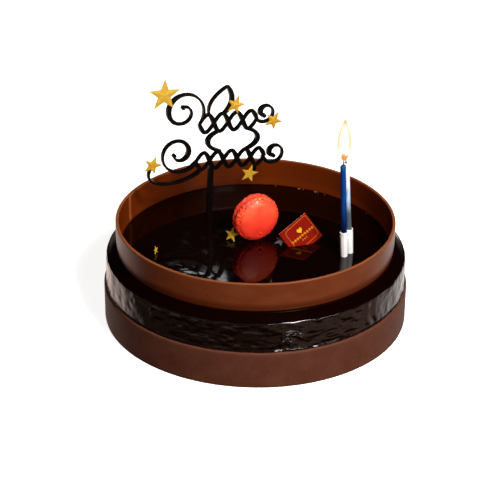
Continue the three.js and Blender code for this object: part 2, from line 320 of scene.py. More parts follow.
class Look(Nodes):
    """A material under construction: a Principled shader fed by procedural nodes."""

    def __init__(self, name, colour, roughness, **values):
        self.material = bpy.data.materials.new(name)
        self.material.use_nodes = True
        super().__init__(self.material.node_tree, "Object")
        self.shader = self.nodes["Principled BSDF"]
        self.feed("Base Color", (*colour, 1))
        self.feed("Roughness", roughness)
        for key, value in values.items():
            self.feed(key.replace("_", " "), value)

    def attribute(self, name):
        return self.node("Attribute", attribute_name=name).outputs["Fac"]

    def facing(self, low, high):
        """A ramp over how far the surface turns towards its outline."""
        return self.ramp(self.node("LayerWeight").outputs["Facing"], low, high)

    def feed(self, key, value):
        self.plug(self.shader.inputs[key], value)

    def tint(self, factor, a, b):
        self.feed("Base Color", self.mix(factor, a, b))

    def roughen(self, factor, low, high):
        self.feed("Roughness", self.between(factor, low, high))

    def glow(self, colour, share):
        """Makes the material a light of this colour that hides this share of what is behind."""
        light = self.node("Emission", {"Color": colour}).outputs["Emission"]
        clear = self.node("BsdfTransparent").outputs["BSDF"]
        blend = self.node("MixShader", {"Fac": share, 1: clear, 2: light})
        self.plug(self.nodes["Material Output"].inputs["Surface"], blend.outputs["Shader"])

    def bump(self, *layers):
        """Bumps from (height socket, depth in millimetres) layers."""
        below = {}
        for height, depth in layers:
            made = self.node("Bump", {"Height": height, "Distance": depth * MM} | below)
            below = {"Normal": made.outputs["Normal"]}
        self.feed("Normal", below["Normal"])


CRACKLE_SPOT = (28.5, -114.5, 38.5)  # a patch of the side where the glaze set in fine wrinkles


def glaze_look():
    look = Look("dark_mirror_glaze", (0.004, 0.0003, 0.0001), 0.05, IOR=1.35)
    look.tint(look.noise(24, 2), (0.0018, 0.0001, 0.0001), (0.0032, 0.0004, 0.0001))
    look.roughen(look.ramp(look.noise(13, 3), 0.45, 0.75), 0.035, 0.09)
    look.bump((look.noise(2.6, 2), 0.004))
    return look.material


def side_look():
    look = Look("rippled_glaze", (0.008, 0.003, 0.002), 0.12, IOR=1.46)
    streak = look.noise(5, 4, look.stretched((1, 1, 2.2)), 0.6)
    look.tint(look.ramp(streak, 0.4, 0.7), (0.0025, 0.0007, 0.0004), (0.009, 0.0034, 0.002))
    look.roughen(look.ramp(look.noise(7, 3), 0.35, 0.75), 0.05, 0.13)
    patch = look.times(look.near(CRACKLE_SPOT, 5, 12), look.ramp(look.noise(6, 1), 0.34, 0.6))
    crackle = look.times(look.noise(2.2, 2, look.stretched((1, 1, 1.2)), 0.5), patch)
    look.bump((look.noise(2.2, 2), 0.05), (crackle, 2.6))
    return look.material


def band_look():
    look = Look("velvet_cocoa_coat", (0.07, 0.03, 0.02), 0.55, IOR=1.4, Specular_IOR_Level=0.15)
    cloud = look.ramp(look.noise(16, 4), 0.3, 0.7)
    base = look.mix(cloud, (0.073, 0.0212, 0.0112), (0.091, 0.0295, 0.0172))
    speck = look.times(look.spots(1.9, 0.24), look.ramp(look.noise(2.4, 2), 0.48, 0.6))
    base = look.mix(speck, base, (0.19, 0.09, 0.055))
    # Painted highlight: a lighter reddish line along the band's top edge.
    top = look.ramp(look.axis("Z"), BAND_HEIGHT - 0.9, BAND_HEIGHT - 0.2)
    look.tint(top, base, (0.105, 0.033, 0.019))
    look.roughen(look.noise(1.1, 3), 0.48, 0.68)
    look.bump((look.noise(0.7, 4), 0.07), (look.noise(7, 2), 0.12))
    return look.material


def collar_look():
    look = Look("satin_chocolate", (0.1, 0.03, 0.012), 0.3, IOR=1.42, Specular_IOR_Level=0.16)
    height = look.axis("Z")
    cloud = look.ramp(look.noise(22, 3, look.stretched((1, 1, 2))), 0.3, 0.7)
    base = look.mix(cloud, (0.104, 0.0223, 0.0066), (0.127, 0.0302, 0.0104))
    # Painted shade: the foot of the outer wall is darkened where it faces the black ledge and the shade
    # beneath it.
    foot = look.ramp(height, GLAZE + COLLAR_TUCK_HEIGHT + 2.5, GLAZE + COLLAR_TUCK_HEIGHT - 2.5)
    # Painted shade: the inner wall gets a deeper, more saturated brown than the outside, for how it is lit.
    outside = look.ramp(look.radius(), COLLAR_RADIUS - 1.7, COLLAR_RADIUS - 1.2)
    base = look.mix(outside, (0.112, 0.0165, 0.0016), base)
    base = look.mix(look.times(foot, outside), base, (0.075, 0.014, 0.0036))
    # The rim is lighter: partly its rubbed cut edge, partly a painted highlight where light falls on it from
    # above.
    rim = look.ramp(height, GLAZE + COLLAR_HEIGHT - 0.75, GLAZE + COLLAR_HEIGHT - 0.15)
    base = look.mix(rim, base, (0.23, 0.066, 0.022))
    # Painted highlight: an orange streak along the lap edge of the inner wall.
    look.tint(look.times(look.attribute("seam_highlight"), look.noise(3, 3)), base, (0.3, 0.1, 0.03))
    satin = look.between(look.noise(12, 3), 0.24, 0.38)
    look.feed("Roughness", look.math("ADD", satin, look.times(rim, 0.2)))
    look.bump((look.noise(14, 2), 0.05), (look.noise(1.8, 3), 0.008))
    return look.material


MACARON_POLISH = (2.7, 1.8, GLAZE + 32)  # the smoothest part of the shown shell


def macaron_look():
    soft = {"Subsurface_Weight": 0.08, "Subsurface_Radius": (1.0, 0.25, 0.1), "Subsurface_Scale": 1.2 * MM}
    look = Look("baked_red_meringue", (0.85, 0.06, 0.03), 0.4, Specular_IOR_Level=0.36, **soft)
    cloud = look.ramp(look.noise(11, 3), 0.35, 0.7)
    # Painted light: the shell is redder and darker low down and more orange high up, for how light falls on
    # it.
    low = look.mix(cloud, (0.78, 0.026, 0.011), (0.82, 0.036, 0.016))
    high = look.mix(cloud, (0.82, 0.064, 0.025), (0.86, 0.11, 0.033))
    base = look.mix(look.ramp(look.axis("Z"), GLAZE + 6, GLAZE + 36), low, high)
    base = look.mix(look.ramp(look.noise(0.9, 2), 0.6, 0.75), base, (0.66, 0.026, 0.014))
    # Painted shade in the pits of the frilly foot.
    pore_shade = look.times(look.ramp(look.noise(1.15, 3, None, 0.4), 0.5, 0.62), look.attribute("frill"))
    look.tint(pore_shade, base, (0.55, 0.014, 0.008))
    polish = look.times(look.near(MACARON_POLISH, 3, 9), look.ramp(look.noise(3, 3), 0.2, 0.5))
    look.roughen(polish, 0.52, 0.26)
    look.bump((look.noise(0.9, 3), 0.05), (look.noise(4, 2), 0.1))
    return look.material


def even_look(name, colour, roughness, grain, low, high, relief=None, gloss=None, **values):
    """Two close colours in a grain. The relief is (size, detail, depth). The gloss feeds the
    roughness: (size, detail, low, high)."""
    look = Look(name, colour, roughness, **values)
    look.tint(look.noise(*grain), low, high)
    if gloss:
        look.roughen(look.noise(*gloss[:2]), *gloss[2:])
    if relief:
        look.bump((look.noise(*relief[:2]), relief[2]))
    return look.material


def gold_look(name, colour, dark, roughness, metal=0.4, gloss=0.5):
    look = Look(name, colour, roughness, Metallic=metal, IOR=1.5, Specular_IOR_Level=gloss)
    look.tint(look.ramp(look.noise(3.5, 3), 0.3, 0.75), dark, colour)
    look.roughen(look.noise(1.6, 3), roughness - 0.06, roughness + 0.1)
    look.bump((look.noise(2.2, 3), 0.04), (look.noise(0.5, 2), 0.008))
    return look.material


def blue_wax_look():
    look = Look("blue_candle_wax", (0.004, 0.045, 0.2), 0.32, IOR=1.44, Specular_IOR_Level=0.15)
    low = GLAZE + HOLDER_HEIGHT - HOLDER_DEPTH
    grain = look.noise(3, 3, look.stretched((1, 1, 0.16)))
    base = look.mix(look.ramp(grain, 0.35, 0.65), (0.0006, 0.016, 0.1), (0.001, 0.045, 0.23))
    # Painted light: the wax is darkened low down and lightened near its tip, for how light falls along the
    # candle.
    base = look.mix(look.ramp(look.axis("Z"), low + 34, low + 10), base, (0.0004, 0.006, 0.05))
    tip = look.ramp(look.axis("Z"), low + CANDLE_LENGTH - 9, low + CANDLE_LENGTH - 2)
    look.tint(tip, base, (0.004, 0.07, 0.24))
    look.bump((grain, 0.08))
    return look.material


def white_wax_look():
    look = Look("white_candle_wax", (0.8, 0.85, 0.92), 0.34, IOR=1.44)
    height = look.axis("Z")
    middle = GLAZE + 46
    grain = look.noise(7, 3, look.stretched((1, 1, 0.35)), 0.8)
    cloud = look.mix(look.ramp(grain, 0.42, 0.6), (0.1, 0.26, 0.48), (0.55, 0.7, 0.86))
    # Painted shade: the lower part of the white candle is darkened to a grey blue.
    low = look.mix(look.ramp(height, middle + 2, middle - 12), cloud, (0.065, 0.09, 0.115))
    look.tint(look.ramp(height, middle + 3, middle + 15), low, (0.84, 0.84, 0.9))
    look.bump((grain, 0.06))
    return look.material


def flame_look(wicks, base, length):
    """White in the middle, yellow towards its outline, orange at its point and above each wick."""
    look = Look("candle_flame", (1.0, 0.9, 0.7), 1.0)
    height = look.axis("Z")
    rim = look.times(look.facing(0.16, 0.5), look.ramp(height, base + 5, base + 15))
    colour = look.mix(rim, (1.25, 1.22, 1.15), (0.98, 0.74, 0.32))
    point = look.ramp(height, base + 0.84 * length, base + 0.97 * length)
    colour = look.mix(point, colour, (0.95, 0.42, 0.05))
    lit = look.facing(0.95, 0.4)
    for wick, reach in wicks:
        away = look.math("ABSOLUTE", look.math("SUBTRACT", look.axis("X"), wick))
        core = look.times(look.ramp(away, 2.1, 0.7), look.ramp(height, base + reach, base + 0.5 * reach))
        colour = look.mix(core, colour, (0.9, 0.34, 0.03))
        lit = look.math("MAXIMUM", lit, core)
    look.glow(colour, lit)
    return look.material


def halo_look(base):
    """The faint glow round a flame: it covers a small part of what is behind it."""
    look = Look("flame_halo", (1.0, 0.8, 0.4), 1.0)
    colour = look.mix(look.noise(9, 2), (1.0, 0.78, 0.42), (1.0, 0.86, 0.56))
    share = look.times(look.facing(0.95, 0.4), 0.3)
    look.glow(colour, look.times(share, look.ramp(look.axis("Z"), base + 6, base + 18)))
    return look.material


# ---- the cake

WAVY_PATCH = (Vector((-75.0, -36.0)), Vector((-33.0, -70.0)))  # where the poured glaze ran into waves
PATCH_REACH = 14.0
WAVE_HEIGHT = 0.06
WRINKLE_HEIGHT = 0.46
LIP_HEIGHT = 0.35  # how far the glaze climbs the foot of the collar
CAKE_FACETS = 840
BAND_FACETS = 720
TOP_ROWS = ((103.0, 22), (22.0, 78), (2.0, 7))  # inner radius and number of rows


def side_wrinkles(x, y, z):
    """Wrinkles of the poured side: ripples in front, softer upright folds at the sides and back."""
    across = smoothstep(28, 52, abs(azimuth_of(x, y)))
    ripple = lump(x, y, 2.3 * z, 11) + 0.6 * lump(x, y, 2.6 * z, 6.4, 5) + 0.16 * lump(x, y, 1.6 * z, 2.6, 9)
    fold = lump(x + 0.35 * z, y, 0.45 * z, 8.5, 3) + 0.5 * lump(x, y, 0.8 * z, 4.2, 7)
    height = (1 - across) * ripple + across * 0.85 * fold
    return tanh(1.7 * height)


def top_waves(x, y):
    """Height of the poured top: almost flat, with one wavy patch."""
    calm = 0.02 * lump(x, y, 0, 40)
    start, end = WAVY_PATCH
    spot = Vector((x, y))
    along = (spot - start).dot(end - start) / (end - start).length_squared
    nearest = start.lerp(end, min(max(along, 0.0), 1.0))
    reach = (spot - nearest).length / PATCH_REACH
    waves = lump(0.6 * x, 1.4 * y, 0, 7.5, 2) + 0.35 * lump(0.6 * x, 1.3 * y, 0, 3.6, 4)
    wall = hypot(x - COLLAR_SHIFT, y) - (COLLAR_RADIUS - COLLAR_WALL - COLLAR_TUCK)
    lip = LIP_HEIGHT * exp(-((min(wall, 0.0) / 0.8) ** 2)) * (1 - smoothstep(0.0, 0.5, wall))
    return calm + WAVE_HEIGHT * waves * (1 - smoothstep(0.3, 1.0, reach)) + lip


def body_relief(x, y, z):
    radius = hypot(x, y)
    if radius > FLAT_RADIUS + 1:
        low = smoothstep(BAND_HEIGHT - 0.6, BAND_HEIGHT + 2.0, z)
        high = 1 - smoothstep(CREASE_HEIGHT - 1.5, CREASE_HEIGHT - 0.2, z)
        out = WRINKLE_HEIGHT * low * high * side_wrinkles(x, y, z)
        bead = exp(-(((z - BAND_HEIGHT - 0.9) / 0.6) ** 2))
        out += 0.3 * bead * lump(x, y, 0, 4.5, 8)
        edge = exp(-((z - CREASE_HEIGHT) / 1.6) ** 2)
        return out, 0.45 * edge * lump(x, y, 0, 17, 6)
    if z > GLAZE - 1:
        return 0.0, top_waves(x, y) * smoothstep(FLAT_RADIUS, FLAT_RADIUS - 5, radius)
    return 0.0, 0.0


def build_cake():
    foot = BAND_RADIUS - BAND_WALL - 0.2
    lip = BAND_HEIGHT + 0.2
    crest = (CREASE_RADIUS, CREASE_HEIGHT)
    middle = ((CREASE_RADIUS + FLAT_RADIUS) / 2, (CREASE_HEIGHT + GLAZE) / 2 + 0.1)
    profile = [(0, 0), (foot * 0.5, 0), (foot - 0.6, 0), (foot, 0.6)]
    profile += spaced((foot, 0.6), (foot, lip - 0.3), 4)
    profile += [(foot + 0.1, lip + 0.05)]
    profile += rows(SIDE_RADIUS, lip, (0.15, 0.1), (0.6, 0.3), (0.75, 0.65), (0.65, 0.95))
    profile += rows(SIDE_RADIUS, lip, (0.35, 1.2), (0.05, 1.4))
    profile += spaced(profile[-1], (SIDE_RADIUS, SHOULDER_HEIGHT), 31)
    profile += spaced(profile[-1], (SIDE_RADIUS - 0.35, CREASE_HEIGHT - 0.9), 4)
    profile += rows(*crest, (0.55, -0.4), (0.15, -0.05), (-0.5, 0.25))
    profile += spaced(profile[-1], middle, 4)
    profile += spaced(middle, (FLAT_RADIUS + 0.5, GLAZE - 0.25), 4)
    profile += [(FLAT_RADIUS - 0.4, GLAZE)]
    for radius, count in TOP_ROWS:
        profile += spaced(profile[-1], (radius, GLAZE), count)
    profile += [(0, GLAZE)]
    shape = turned(profile, CAKE_FACETS, body_relief)
    made = make_object("glazed_cake", shape, glaze_look(), ["cake_body"])
    made.data.materials.append(side_look())
    for polygon in made.data.polygons:
        polygon.material_index = int(polygon.center.z / MM < CREASE_HEIGHT - 0.2)


def band_relief(x, y, z):
    radius = hypot(x, y)
    outer = smoothstep(BAND_RADIUS - 1.5, BAND_RADIUS - 0.5, radius)
    out = -0.12 * outer * (0.5 + 0.5 * lump(x, y, z, 21, 8))
    top = smoothstep(BAND_HEIGHT - 4, BAND_HEIGHT, z)
    return out, 0.3 * top * (lump(x, y, 0, 13, 2) - 0.5 + 0.5 * lump(x, y, 0, 4.5, 3))


def build_band():
    inner = BAND_RADIUS - BAND_WALL
    outer = BAND_RADIUS
    top = BAND_HEIGHT
    profile = [(inner, 0.0), (inner + 1.2, 0.0), (outer - 0.35, 0.0), (outer - 0.08, 0.12), (outer, 0.5)]
    profile += spaced((outer, 0.5), (outer, top - 1.0), 12)
    profile += rows(outer, top, (-0.15, -0.6), (-0.45, -0.22), (-0.9, -0.02))
    profile += rows(inner, top, (0.5, 0), (0.1, -0.2), (0, -0.7), (0, -top / 2))
    shape = turned(profile, BAND_FACETS, band_relief, ring=True)
    make_object("cocoa_band", shape, band_look(), ["base_band"])


SEAM_AZIMUTH = -109.0  # where the end of the collar laps over its start
SEAM_STEP = 1.1
COLLAR_FACETS = 900


def collar_relief(x, y, z):
    radius = hypot(x, y)
    inner = radius < COLLAR_RADIUS - COLLAR_WALL / 2
    rise = z - GLAZE
    rim = smoothstep(COLLAR_HEIGHT - 3, COLLAR_HEIGHT, rise)
    up = 0.16 * rim * (lump(x, y, 0, 15, 1) + 0.5 * lump(x, y, 0, 2.4, 4) - 0.8)
    out = 0.12 * lump(x, y, 0.5 * z, 38, 3)
    if inner:
        past = (SEAM_AZIMUTH + 0.3 * lump(x, y, z, 5) - azimuth_of(x, y)) % 360
        out -= SEAM_STEP * exp(-past / 16) * smoothstep(0, 4, rise)
    return out, up


def seam_highlight_share(x, y, z):
    """1 on the inner wall's lap edge, where a highlight is painted, and 0 away from it."""
    if hypot(x - COLLAR_SHIFT, y) > COLLAR_RADIUS - COLLAR_WALL + 0.3:
        return 0.0
    return exp(-(((azimuth_of(x - COLLAR_SHIFT, y) - SEAM_AZIMUTH) / 0.45) ** 2))


def build_collar():
    outer = COLLAR_RADIUS
    inner = outer - COLLAR_WALL
    foot = outer - COLLAR_TUCK
    tuck = GLAZE + COLLAR_TUCK_HEIGHT
    top = GLAZE + COLLAR_HEIGHT
    profile = [(inner - COLLAR_TUCK, GLAZE), (foot - 0.25, GLAZE), (foot, GLAZE + 0.25)]
    steps = 12
    for k in range(1, steps + 1):
        share = k / steps
        height = GLAZE + 0.25 + (tuck + 2.4 - GLAZE) * share
        profile.append((outer - COLLAR_TUCK * (1 - share) ** 1.7, height))
    profile += spaced(profile[-1], (outer, top - 0.6), 8)
    profile += rows(outer, top, (-0.08, -0.3), (-0.3, -0.08), (-0.65, 0))
    profile += rows(inner, top, (0.65, 0), (0.3, -0.08), (0.08, -0.3))
    profile += spaced((inner, top - 0.6), (inner, tuck + 0.4), 8)
    profile += spaced((inner, tuck + 0.4), (inner - COLLAR_TUCK, GLAZE), 5)[:-1]
    shape = turned(profile, COLLAR_FACETS, collar_relief, ring=True)
    shape = moved(shape, Matrix.Translation((COLLAR_SHIFT, 0, 0)))
    made = make_object("chocolate_collar", shape, collar_look(), ["collar"])
    share_out(made, "seam_highlight", [seam_highlight_share(*v) for v in shape[0]])


# ---- the macaron

SHELL_BLISTER = (0.6, -11.3)  # a small blister low on the shown shell
SHELL_FACETS = 400
DOME_FOOT = 3.75  # where a shell's frilly foot ends and its dome starts
DOME_SETBACK = 1.75


def frill_share(x, y, z):
    """1 on a shell's frilly foot, less towards the dome and 0 on its flat side."""
    outer = smoothstep(MACARON_RADIUS - 5.2, MACARON_RADIUS - 2.2, hypot(x, y))
    return smoothstep(0.0, 0.4, z) * (1 - smoothstep(4.6, 6.8, z)) * outer


def shell_relief(seed, blister):
    """Frilly, pitted foot, then a smooth dome with faint dimples."""

    def relief(x, y, z):
        share = frill_share(x, y, z)
        pit = max(0.0, lump(x, y, 1.2 * z, 1.9, seed + 3) - 0.12)
        out = share * (0.42 * lump(x, y, 1.3 * z, 2.6, seed) + 0.3 * lump(x, y, z, 1.3, seed + 7) - 1.0 * pit)
        up = share * 0.4 * lump(x, y, z, 1.9, seed + 5)
        if z > DOME_FOOT - 0.05:
            up += 0.16 * lump(x, y, z, 8, seed + 2) + 0.04 * lump(x, y, z, 1.7, seed + 4)
            out += 0.18 * lump(x, y, z, 9, seed + 1)
            if blister:
                away = hypot(x - blister[0], y - blister[1])
                up += 0.75 * exp(-((away / 1.0) ** 2)) - 0.35 * exp(-(((away - 2.0) / 0.7) ** 2))
        return out, up

    return relief


def build_macaron():
    rise = (MACARON_THICKNESS - MACARON_FILLING) / 2 - GAP / 2
    radius = MACARON_RADIUS
    profile = [(0, 0), (radius * 0.6, 0)]
    profile += rows(radius, 0, (-1.2, 0), (-0.55, 0.06), (-0.3, 0.2), (-0.1, 0.5), (0, 0.9), (0, 1.35))
    profile += rows(radius, 0, (-0.02, 1.8), (-0.1, 2.2), (-0.25, 2.6), (-0.5, 2.95), (-0.85, 3.25))
    profile += rows(radius, 0, (-1.2, 3.5), (-1.5, 3.65))
    steps = 30
    for i in range(steps):
        share = cos(i / steps * pi / 2)
        height = DOME_FOOT + (rise - DOME_FOOT) * (1 - share * share) ** 0.6
        profile.append(((radius - DOME_SETBACK) * share, height))
    profile.append((0, rise))
    place = Matrix.Translation((*MACARON_PLACE, GLAZE + GAP + radius)) @ spin(MACARON_TURN, "Z")
    look = macaron_look()
    for face, side, seed, blister in (("front", 1, 11, SHELL_BLISTER), ("back", -1, 23, None)):
        shape = turned(profile, SHELL_FACETS, shell_relief(seed, blister))
        shift = Matrix.Translation((0, -side * MACARON_FILLING / 2, 0))
        tipped = moved(shape, place @ shift @ spin(side * 90, "X"))
        made = make_object(f"macaron_{face}", tipped, look, [f"macaron_{face}_shell"])
        share_out(made, "frill", [frill_share(*v) for v in shape[0]])
    half = MACARON_FILLING / 2 - GAP / 2
    edge = radius - 0.3
    profile = [(0, -half), (edge - 0.5, -half), (edge, -half * 0.5), (edge + 0.15, 0), (edge, half * 0.5)]
    profile += [(edge - 0.5, half), (0, half)]
    shape = turned(profile, 160, lambda x, y, z: (0.4 * lump(x, y, z, 2.4, 4), 0.0))
    shape = moved(shape, place @ spin(90, "X"))
    colours = (0.55, 0.018, 0.01), (0.75, 0.045, 0.02)
    look = even_look("macaron_cream", (0.35, 0.02, 0.01), 0.55, (2, 3), *colours, (1.2, 3, 0.2))
    make_object("macaron_cream", shape, look, ["macaron_filling"])


# ---- the card

def rounded_loop(half_width, half_height, radius, corner_steps=3):
    """Points of a rectangle with round corners, going round anticlockwise."""
    points = []
    for quarter, (sx, sy) in enumerate(((1, 1), (-1, 1), (-1, -1), (1, -1))):
        centre = (sx * (half_width - radius), sy * (half_height - radius))
        for k in range(corner_steps + 1):
            points.append(round_point(centre, radius, (quarter + k / corner_steps) * pi / 2))
    return points


def strip(points, half_at, base, top, closed=False):
    """A flat solid strip along these points, from base to top towards -Y.

    half_at(i, along) is half its width at a point, where it runs in the direction along.
    """
    count = len(points)
    vertices = []
    for i, point in enumerate(points):
        before = points[i - 1 if closed else max(i - 1, 0)]
        after = points[(i + 1) % count if closed else min(i + 1, count - 1)]
        along = (after - before).normalized()
        across = Vector((-along.y, along.x)) * half_at(i, along)
        for side, depth in ((1, base), (-1, base), (-1, top), (1, top)):
            vertices.append((point.x + side * across.x, -depth, point.y + side * across.y))
    faces = [] if closed else [(0, 1, 2, 3)]
    for i in range(count if closed else count - 1):
        low = 4 * i
        high = 4 * ((i + 1) % count)
        for k in range(4):
            n = (k + 1) % 4
            faces.append((low + k, high + k, high + n, low + n))
    if not closed:
        last = 4 * count - 1
        faces.append((last, last - 1, last - 2, last - 3))
    return vertices, faces


def stack(levels):
    """A closed solid through levels of (outline, y) with as many (x, z) points each."""
    count = len(levels[0][0])
    last = count * (len(levels) - 1)
    vertices = [(u, y, v) for outline, y in levels for u, v in outline]
    faces = [tuple(range(count))[::-1], tuple(range(last, last + count))]
    for low in range(0, last, count):
        for i in range(count):
            j = (i + 1) % count
            faces.append((low + i, low + j, low + count + j, low + count + i))
    return vertices, faces


def plate(outline, base, top):
    """A flat closed plate with this outline, from base to top towards -Y."""
    return stack(((outline, -base), (outline, -top)))


def joined(shapes):
    vertices, faces = [], []
    for each_vertices, each_faces in shapes:
        start = len(vertices)
        vertices += each_vertices
        faces += [tuple(start + i for i in face) for face in each_faces]
    return vertices, faces


def heart_outline(size, centre, steps=28):
    points = []
    for k in range(steps):
        t = tau * k / steps
        u = 16 * sin(t) ** 3
        v = 13 * cos(t) - 5 * cos(2 * t) - 2 * cos(3 * t) - cos(4 * t)
        points.append((centre[0] + size * u / 16, centre[1] + size * v / 16))
    return points[::-1]


def disc_outline(radius, centre, steps=14):
    return [round_point(centre, radius, tau * k / steps) for k in range(steps)]


def lozenge_outline(half_width, half_height, centre):
    u, v = centre
    return [(u + half_width, v), (u, v + half_height), (u - half_width, v), (u, v - half_height)]


def outward(made):
    """Turns the faces of a closed mesh outwards."""
    shape = bmesh.new()
    shape.from_mesh(made.data)
    bmesh.ops.recalc_face_normals(shape, faces=shape.faces[:])
    shape.to_mesh(made.data)
    shape.free()
    return made


PRINT_DEPTH = (-0.02, 0.05)  # from just under the card's face to just above it
# corners of the frame on the card and how far each is eased: it is a little out of true
PRINTED_FRAME = (((12.7, 10.1), 2.0), ((-9.8, 9.2), 3.4), ((-9.7, -9.2), 3.2), ((12.8, -8.2), 3.2))
# name, colour and darker colour of what is printed in gold
CARD_GOLDS = (
    ("card_gilding", (0.48, 0.18, 0.009), (0.42, 0.13, 0.007)),
    ("card_frame_line", (0.38, 0.07, 0.005), (0.32, 0.055, 0.004)),
    ("card_emblem", (0.62, 0.36, 0.017), (0.54, 0.29, 0.013)),
)


def eased_loop(corners, steps=6):
    """A closed loop with each corner rounded from its own distance away."""
    points = []
    for k, (corner, ease) in enumerate(corners):
        corner = Vector(corner)
        before = Vector(corners[k - 1][0]) - corner
        after = Vector(corners[(k + 1) % len(corners)][0]) - corner
        start = corner + before.normalized() * ease
        end = corner + after.normalized() * ease
        for i in range(steps + 1):
            t = i / steps
            points.append(start * (1 - t) ** 2 + corner * 2 * t * (1 - t) + end * t * t)
    return points


def build_card():
    width, thickness, height = CARD_SIZE
    lift = Matrix.Translation((*CARD_PLACE, GLAZE + CARD_CENTRE))
    place = lift @ spin(CARD_TURN, "Z") @ spin(-CARD_LEAN, "X") @ spin(-CARD_ROLL, "Y")
    front = thickness / 2
    outline = rounded_loop(width / 2, height / 2, 0.35)
    inset = rounded_loop(width / 2 - 0.06, height / 2 - 0.06, 0.3)
    levels = ((inset, -front), (outline, -front + 0.06), (outline, front - 0.06), (inset, front))
    reds = (0.158, 0.006, 0.0034), (0.194, 0.008, 0.0043)
    matte = {"gloss": (2, 3, 0.5, 0.65), "IOR": 1.5, "Specular_IOR_Level": 0.0}
    look = even_look("red_printed_card", (0.17, 0.007, 0.004), 0.55, (9, 2), *reds, (0.6, 3, 0.01), **matte)
    panel = make_object("card_panel", moved(stack(levels), place), look, ["label_card"], False)
    pales = (0.6, 0.5, 0.52), (0.8, 0.72, 0.74)
    panel.data.materials.append(even_look("pale_card_edge", (0.4, 0.3, 0.3), 0.6, (0.8, 3), *pales))
    upward = place.to_3x3() @ Vector((0, 0, 1))
    for polygon in panel.data.polygons[2:]:
        facing_up = abs(polygon.normal.dot(upward)) > 0.5
        polygon.material_index = int(facing_up and polygon.center.z / MM > GLAZE + 9)
    outward(panel)
    low, high = (front + depth for depth in PRINT_DEPTH)
    shapes = [strip(eased_loop(PRINTED_FRAME), lambda i, along: 0.36, low, high, closed=True)]
    outlines = [heart_outline(2.5, (1.4, 3.3))]
    outlines += [lozenge_outline(1.2, 1.3, (-9.0 + 2.5 * k, -1.0)) for k in range(9)]
    outlines += [disc_outline(0.6, (-1.0 + 1.9 * k, -4.2)) for k in range(3)]
    shapes += [plate(each, low, high) for each in outlines]
    looks = [gold_look(*gold, 0.5, 0.0, 0.0) for gold in CARD_GOLDS]
    gilding = make_object("card_gilding", moved(joined(shapes), place), looks[0], (), False)
    for look in looks[1:]:
        gilding.data.materials.append(look)
    frame_line, emblem = (len(shape[1]) for shape in shapes[:2])
    for polygon, index in zip(gilding.data.polygons, [1] * frame_line + [2] * emblem):
        polygon.material_index = index
    outward(gilding)


# ---- the candles

def candle_place(spot):
    (x, y), lean = spot
    return Matrix.Translation((x, y, GLAZE - HOLDER_SUNK)) @ spin(-lean, "Y")


def holder_relief(x, y, z):
    radius = hypot(x, y)
    if radius > CANDLE_RADIUS + GAP + 0.1 and 1.2 < z < HOLDER_HEIGHT - 1.0:
        return FLUTE_DEPTH * (cos(FLUTES * atan2(y, x)) - 0.2), 0.0
    return 0.0, 0.0


def build_holder(colour, look):
    bore = CANDLE_RADIUS + GAP
    floor = HOLDER_HEIGHT - HOLDER_DEPTH - GAP
    top = HOLDER_HEIGHT
    profile = [(0, 0), (HOLDER_FOOT - 0.5, 0), (HOLDER_FOOT - 0.1, 0.15), (HOLDER_FOOT, 0.6)]
    profile += spaced((HOLDER_FOOT, 0.6), (HOLDER_TOP - 0.02, top - 1.1), 12)
    profile += rows(HOLDER_TOP, top, (0.1, -0.8), (0.1, -0.25), (0, -0.05), (-0.15, 0))
    profile += [(bore + 0.12, top), (bore, top - 0.15), (bore, floor + 2), (bore, floor), (0, floor)]
    shape = moved(turned(profile, 96, holder_relief), candle_place(CANDLE_SPOTS[colour]))
    made = make_object(f"holder_cup_{colour}", shape, look, [f"candle_holder_{colour}"])
    sharpen(made, 50)


def wax_relief(seed):
    def relief(x, y, z):
        out = 0.05 * lump(x, y, 0.4 * z, 4, seed)
        if z > CANDLE_LENGTH - 5:
            return out + 0.1 * lump(x, y, z, 1.6, seed + 1), 0.3 * lump(x, y, 0, 2.2, seed + 2)
        return out, 0.0

    return relief


def build_candle(colour, look, seed):
    length = CANDLE_LENGTH
    radius = CANDLE_RADIUS
    lip = length + 1.0
    profile = [(0, 0), (radius - 0.2, 0), (radius, 0.2)]
    profile += spaced((radius, 0.2), (radius, lip - 2), 26)
    profile += rows(radius, lip, (0, -1.2), (-0.05, -0.6), (-0.25, -0.2), (-0.6, 0), (-1.0, -0.25))
    profile += [(0.85, lip - 0.9), (0.8, length - WICK_SUNK + 0.1), (0, length - WICK_SUNK)]
    place = candle_place(CANDLE_SPOTS[colour]) @ Matrix.Translation((0, 0, HOLDER_HEIGHT - HOLDER_DEPTH))
    shape = moved(turned(profile, 48, wax_relief(seed)), place)
    make_object(f"candle_wax_{colour}", shape, look, [f"candle_{colour}"])
    start = length - WICK_SUNK + GAP
    profile = [(0, 0), (0.42, 0.0), (0.5, 0.15)] + spaced((0.5, 0.15), (0.42, WICK_LENGTH - 0.3), 10)
    profile += [(0.25, WICK_LENGTH - 0.05), (0, WICK_LENGTH)]
    vertices, faces = turned(profile, 16, lambda x, y, z: (0.08 * lump(x, y, z, 0.8, seed), 0.0))
    bend = WICK_BENDS[colour]
    bent = [(x + bend * (z / WICK_LENGTH) ** 2.2, y, z + start) for x, y, z in vertices]
    blacks = (0.012, 0.01, 0.02), (0.11, 0.06, 0.05)
    look = even_look("charred_wick", (0.03, 0.02, 0.02), 0.85, (0.8, 3), *blacks, (0.4, 2, 0.08))
    make_object(f"wick_thread_{colour}", moved((bent, faces), place), look, [f"wick_{colour}"])


